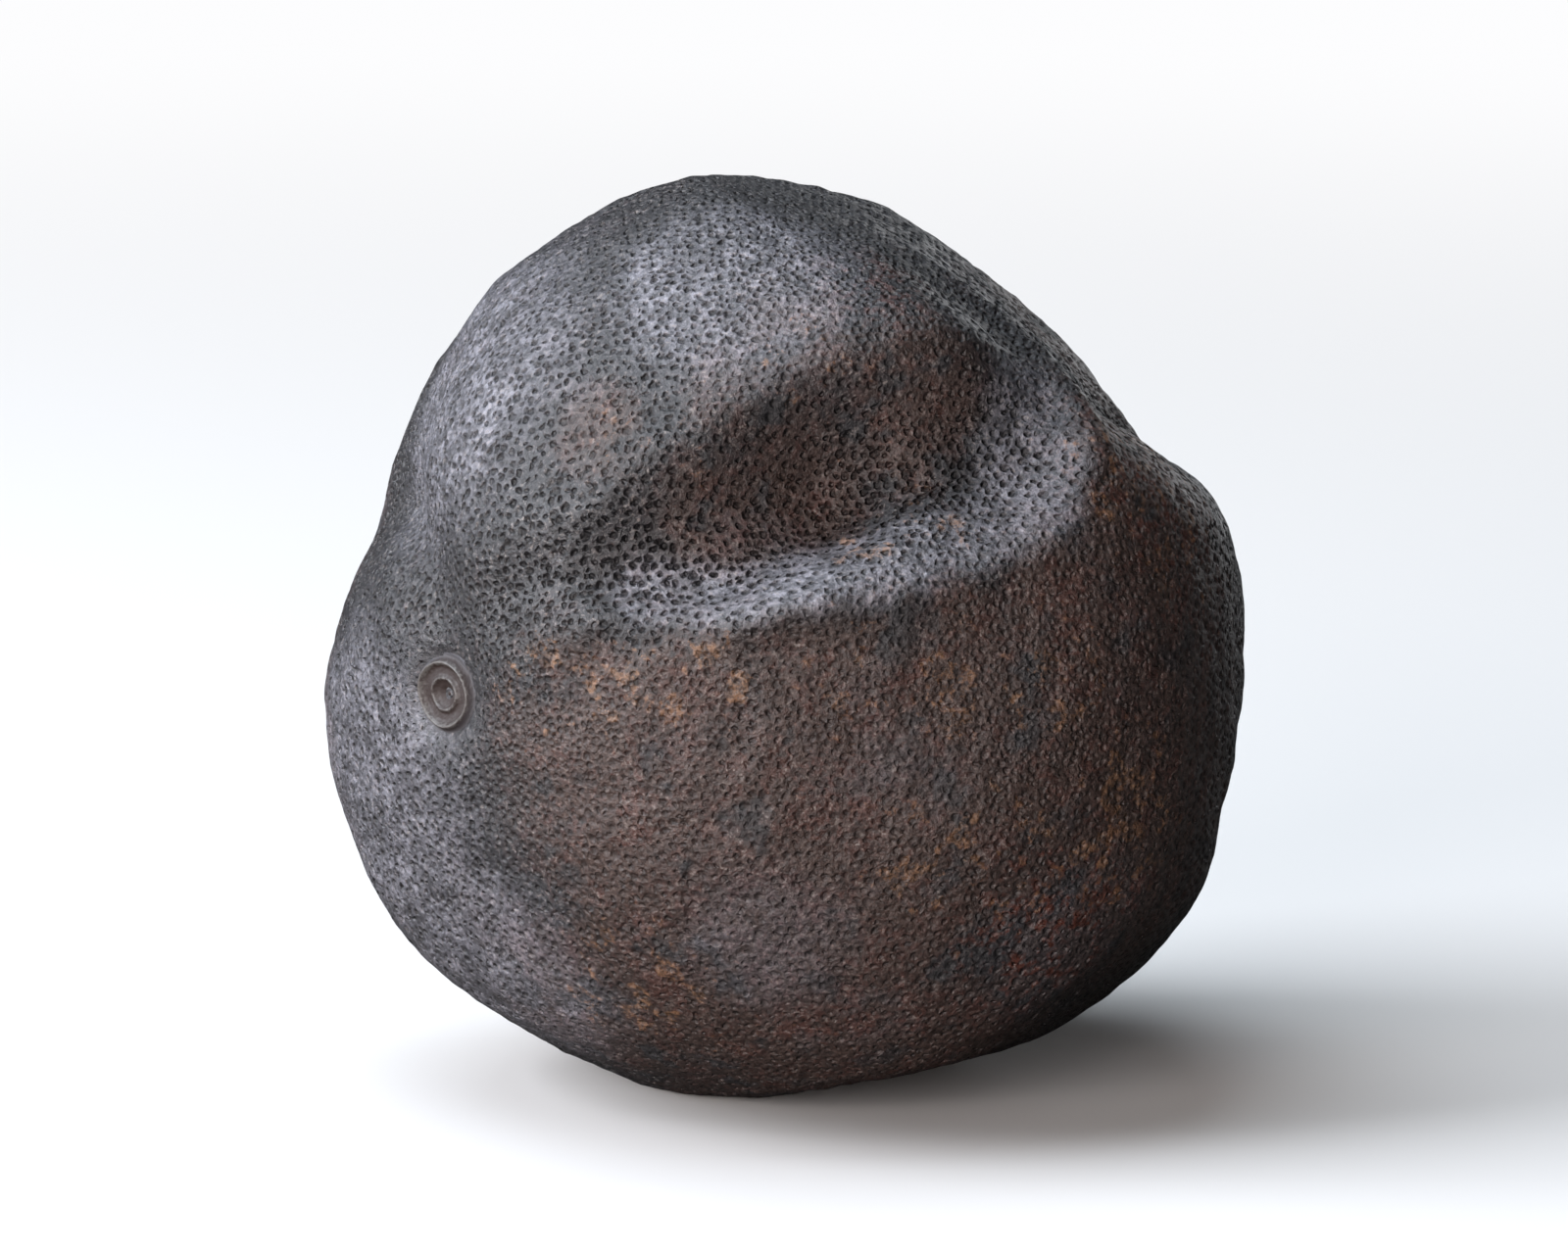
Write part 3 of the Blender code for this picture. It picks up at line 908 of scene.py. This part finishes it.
def pit_share(tree, place):
    """1 in the middle of a pore and 0 outside it: the distance from the pore, wavered by noise, as a
    share of the pore's radius."""
    wobble = noise(tree, place, WOBBLE_SIZE, detail=3.0, output="Color")
    wobble = vector_maths(tree, "SUBTRACT", {0: wobble, 1: (0.5, 0.5, 0.5)})
    inputs = {0: wobble, 1: (PIT_WOBBLE,) * 3, 2: attribute(tree, "pore_offset", "Vector")}
    offset = vector_maths(tree, "MULTIPLY_ADD", inputs)
    distance = vector_maths(tree, "LENGTH", {0: offset}, "Value")
    share = maths(tree, "DIVIDE", distance, attribute(tree, "pore_radius"))
    return maths(tree, "MULTIPLY", remap(tree, share, *PIT_EDGE), attribute(tree, "pore_tone"))


def peel_roughness(tree, place, pit, grain, settings):
    """Waxy and uneven, rougher in the pits and where it is brown, and smoother where it is red."""
    wax = noise(tree, place, WAX_SIZE, detail=3.0, roughness=0.6)
    rough = maths(tree, "ADD", settings.roughness, remap(tree, wax, *ROUGH_BY_WAX))
    rough = maths(tree, "ADD", rough, remap(tree, grain, *ROUGH_BY_GRAIN))
    rough = maths(tree, "ADD", rough, maths(tree, "MULTIPLY", pit, PIT_ROUGHNESS))
    rough = maths(tree, "ADD", rough, maths(tree, "MULTIPLY", attribute(tree, "brown"), BROWN_ROUGHNESS))
    return maths(tree, "SUBTRACT", rough, maths(tree, "MULTIPLY", attribute(tree, "red"), RED_GLOSS))


def peel_material(settings):
    """Dried peel: dark pits in a waxy net, deeper in the dents, over a fine grain."""
    material, tree, shader, place = new_material("peel")
    pit = pit_share(tree, place)
    grain = noise(tree, place, FINE_GRAIN_SIZE, detail=4.0, roughness=0.65)
    depth = remap(tree, attribute(tree, "hollow"), 0.0, 1.0, settings.pore_depth,
                  HOLLOW_DEEPENING * settings.pore_depth)
    normal = bump(tree, maths(tree, "SUBTRACT", 1.0, pit), depth, bump(tree, grain, GRAIN_HEIGHT))
    tree.links.new(peel_colour(tree, place, pit, settings), shader.inputs["Base Color"])
    tree.links.new(peel_roughness(tree, place, pit, grain, settings), shader.inputs["Roughness"])
    tree.links.new(normal, shader.inputs["Normal"])
    shader.inputs["Specular IOR Level"].default_value = 0.5
    return material


def scar_material(peel, settings):
    """The scar: grey-brown woody rims, dark grooves and the peel's own colour at its edge."""
    material, tree, shader, place = new_material("stem_scar")
    grain = noise(tree, place, WOOD_GRAIN_SIZE, detail=3.0, roughness=0.6)
    tone = maths(tree, "ADD", attribute(tree, "scar_height"), remap(tree, grain, *WOOD_BY_GRAIN))
    colour = blend(tree, remap(tree, tone, *WOOD_COVER), opaque(settings.groove), opaque(settings.wood))
    edge = blend(tree, SCAR_EDGE_FILM_AND_SHEEN, opaque(peel.charcoal), opaque(peel.bloom_and_sheen))
    colour = blend(tree, remap(tree, attribute(tree, "scar_share"), *SCAR_EDGE), colour, edge)
    tree.links.new(colour, shader.inputs["Base Color"])
    tree.links.new(remap(tree, tone, *WOOD_ROUGHNESS), shader.inputs["Roughness"])
    tree.links.new(bump(tree, grain, WOOD_GRAIN_HEIGHT), shader.inputs["Normal"])
    return material


class LIME_OT_grow_peel(Operator):
    """Grow the pored peel over the lime's solid"""
    bl_idname = "lime.grow_peel"
    bl_label = "Grow Peel"

    def execute(self, context):
        settings = context.scene.lime_peel
        directions, triangles = pore_lattice(settings.pore_steps)
        pores = len(directions)
        directions = stray(directions, settings)
        directions, triangles, owner = pore_cells(directions, triangles)
        points = under_scar(directions, directions * peel_radius(directions)[:, None])
        draw = np.random.default_rng(settings.pore_seed + 1)
        size = pore_sizes(draw, directions[:pores], settings)
        offsets = pore_offsets(draw, points, triangles, owner, pores)
        tone = pore_tones(draw, directions[:pores])
        depth = settings.pore_depth * size / settings.pore_radius
        depth *= PORE_SINK_OUTSIDE + dent_share(directions[:pores])
        sunk = points.copy()
        sunk[:pores] -= directions[:pores] * depth[:, None]
        mesh = new_mesh("peel", sunk + body_middle(), triangles)
        write_attribute(mesh, "pore_offset", "FLOAT_VECTOR", "CORNER", offsets)
        write_attribute(mesh, "pore_radius", "FLOAT", "FACE", size[owner])
        write_attribute(mesh, "pore_tone", "FLOAT", "FACE", tone[owner])
        for name, patches in PATCHES.items():
            write_attribute(mesh, name, "FLOAT", "POINT", patch_weight(directions, patches))
        write_attribute(mesh, "hollow", "FLOAT", "POINT", dent_share(directions))
        add_piece("peel", mesh, peel_material(settings))
        return {"FINISHED"}


class LIME_OT_set_stem_scar(Operator):
    """Set the round scar of the stem into the peel"""
    bl_idname = "lime.set_stem_scar"
    bl_label = "Set Stem Scar"

    def execute(self, context):
        axis = heading_vector(*STEM_HEADING)
        up, right = compass(axis)
        bearing = np.linspace(0.0, 2.0 * math.pi, BUTTON_SPOKES, endpoint=False)
        share = np.linspace(0.0, 1.0, BUTTON_RINGS + 1)[1:]
        share, bearing = (grid.ravel() for grid in np.meshgrid(share, bearing, indexing="ij"))
        angle = share * BUTTON_RADIUS / HALF_WIDTH
        across = np.cos(bearing)[:, None] * up + np.sin(bearing)[:, None] * right
        directions = np.cos(angle)[:, None] * axis + np.sin(angle)[:, None] * across
        directions = np.concatenate((axis[None], directions))
        share = np.concatenate(((0.0,), share))
        bearing = np.concatenate(((0.0,), bearing))
        oval = 1.0 + SCAR_OVAL * np.sin(2.0 * bearing + SCAR_OVAL_TURN)
        relief = scar_relief(share * BUTTON_RADIUS * oval)
        radius = peel_radius(directions) + relief - BUTTON_TUCK * ease(share, BUTTON_TUCK_START, 1.0)
        spoke = np.arange(BUTTON_SPOKES)
        following = (spoke + 1) % BUTTON_SPOKES
        fan = np.column_stack((np.zeros(BUTTON_SPOKES, int), 1 + following, 1 + spoke))
        ring = 1 + BUTTON_SPOKES * np.arange(BUTTON_RINGS - 1)[:, None]
        inner, inner_next = ring + spoke, ring + following
        outer, outer_next = inner + BUTTON_SPOKES, inner_next + BUTTON_SPOKES
        first = np.stack((inner, inner_next, outer), axis=2).reshape(-1, 3)
        second = np.stack((outer, inner_next, outer_next), axis=2).reshape(-1, 3)
        points = directions * radius[:, None] + body_middle()
        mesh = new_mesh("stem_scar", points, np.concatenate((fan, first, second)))
        write_attribute(mesh, "scar_height", "FLOAT", "POINT", relief / SCAR_RIM_HEIGHT)
        write_attribute(mesh, "scar_share", "FLOAT", "POINT", share)
        add_piece("stem_scar", mesh, scar_material(context.scene.lime_peel, context.scene.lime_stem))
        return {"FINISHED"}


def floor_material(settings):
    """White near the lime, and the backdrop's own tone far from it, so that no edge shows. It is
    dark to the light that it throws back, so that the lime isn't lit from below."""
    material, tree, shader, place = new_material("floor")
    shader.inputs["Roughness"].default_value = FLOOR_ROUGHNESS
    far = vector_maths(tree, "LENGTH", {0: place}, "Value")
    seen = new_node(tree, "ShaderNodeLightPath").outputs["Is Camera Ray"]
    tone = blend(tree, seen, opaque(FLOOR_BOUNCE), opaque(FLOOR_TONE))
    tree.links.new(tone, shader.inputs["Base Color"])
    share = maths(tree, "MULTIPLY", remap(tree, far, *FLOOR_FADE), seen)
    glow = new_node(tree, "ShaderNodeEmission", {"Color": opaque(settings.backdrop)})
    mixed = new_node(tree, "ShaderNodeMixShader", {0: share, 1: shader.outputs[0], 2: glow.outputs[0]})
    tree.links.new(mixed.outputs[0], tree.nodes["Material Output"].inputs["Surface"])
    return material


def lay_floor(settings):
    """A wide flat disc: a point in the middle and one ring of spokes."""
    bearing = np.linspace(0.0, 2.0 * math.pi, FLOOR_SPOKES, endpoint=False)
    rim = np.column_stack((np.cos(bearing), np.sin(bearing), np.zeros(FLOOR_SPOKES))) * FLOOR_RADIUS
    points = np.concatenate((np.zeros((1, 3)), rim)) + (0.0, 0.0, FRUIT_BOX[0].z)
    spoke = np.arange(FLOOR_SPOKES)
    fan = np.column_stack((np.zeros(FLOOR_SPOKES, int), 1 + spoke, 1 + (spoke + 1) % FLOOR_SPOKES))
    mesh = new_mesh("floor", points, fan)
    mesh.materials.append(floor_material(settings))
    floor = bpy.data.objects.new("floor", mesh)
    bpy.context.scene.collection.objects.link(floor)


def light_world(settings):
    """Even light from all round, and the backdrop's tone where the camera sees it."""
    world = bpy.data.worlds.new("studio")
    bpy.context.scene.world = world
    world.use_nodes = True
    tree = world.node_tree
    shade = tree.nodes["Background"]
    seen = new_node(tree, "ShaderNodeLightPath").outputs["Is Camera Ray"]
    dim = (settings.fill,) * 3
    tree.links.new(blend(tree, seen, opaque(dim), opaque(settings.backdrop)), shade.inputs["Color"])


def hang_light(name, light, target, power):
    """A square soft light that faces a point."""
    lamp = bpy.data.lights.new(name, "AREA")
    lamp.shape = "SQUARE"
    lamp.size = light.side
    lamp.energy = power
    lamp.color = light.colour
    holder = bpy.data.objects.new(name, lamp)
    holder.location = light.place
    holder.rotation_euler = (Vector(target) - Vector(light.place)).to_track_quat("-Z", "Y").to_euler()
    bpy.context.scene.collection.objects.link(holder)


def place_camera(settings):
    """The camera, on a heading round the middle of the lime and facing it."""
    low, high = FRUIT_BOX
    middle = (low + high) / 2.0
    heading = heading_vector(math.degrees(settings.view_turn), math.degrees(settings.view_rise))
    camera = bpy.data.cameras.new("camera")
    camera.lens = settings.lens
    camera.clip_start, camera.clip_end = CAMERA_RANGE
    holder = bpy.data.objects.new("camera", camera)
    holder.location = middle + Vector(heading * settings.view_distance)
    holder.rotation_euler = (middle - holder.location).to_track_quat("-Z", "Y").to_euler()
    bpy.context.scene.collection.objects.link(holder)
    bpy.context.scene.camera = holder


class LIME_OT_set_stage(Operator):
    """Lay the pale floor and set the studio lights and the camera"""
    bl_idname = "lime.set_stage"
    bl_label = "Set Stage"

    def execute(self, context):
        settings = context.scene.lime_stage
        lay_floor(settings)
        light_world(settings)
        middle = (FRUIT_BOX[0] + FRUIT_BOX[1]) / 2.0
        for name, light in LIGHTS.items():
            hang_light(f"{name}_light", light, middle, getattr(settings, f"{name}_power"))
        place_camera(settings)
        context.scene.view_settings.view_transform = "Standard"
        return {"FINISHED"}


class LIME_PT_build(Panel):
    """The lime's pieces and stage"""
    bl_idname = "LIME_PT_build"
    bl_label = "Black Lime"
    bl_space_type = "VIEW_3D"
    bl_region_type = "UI"
    bl_category = "Black Lime"

    def draw(self, context):
        for group, settings, operator in (
                ("Peel", context.scene.lime_peel, LIME_OT_grow_peel),
                ("Stem scar", context.scene.lime_stem, LIME_OT_set_stem_scar),
                ("Stage", context.scene.lime_stage, LIME_OT_set_stage)):
            box = self.layout.box()
            box.label(text=group)
            for name in settings.bl_rna.properties.keys():
                if name not in ("rna_type", "name"):
                    box.prop(settings, name)
            box.operator(operator.bl_idname)


CLASSES = (PeelSettings, StemSettings, StageSettings, LIME_OT_grow_peel, LIME_OT_set_stem_scar,
           LIME_OT_set_stage, LIME_PT_build)


def register():
    """Adds the classes and the scene's settings."""
    for each in CLASSES:
        bpy.utils.register_class(each)
    bpy.types.Scene.lime_peel = PointerProperty(type=PeelSettings)
    bpy.types.Scene.lime_stem = PointerProperty(type=StemSettings)
    bpy.types.Scene.lime_stage = PointerProperty(type=StageSettings)


def unregister():
    """Takes away what register added."""
    del bpy.types.Scene.lime_stage
    del bpy.types.Scene.lime_stem
    del bpy.types.Scene.lime_peel
    for each in reversed(CLASSES):
        bpy.utils.unregister_class(each)


def main():
    """Registers the add-on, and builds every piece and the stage."""
    register()
    bpy.ops.lime.grow_peel()
    bpy.ops.lime.set_stem_scar()
    bpy.ops.lime.set_stage()


if __name__ == "__main__":
    main()
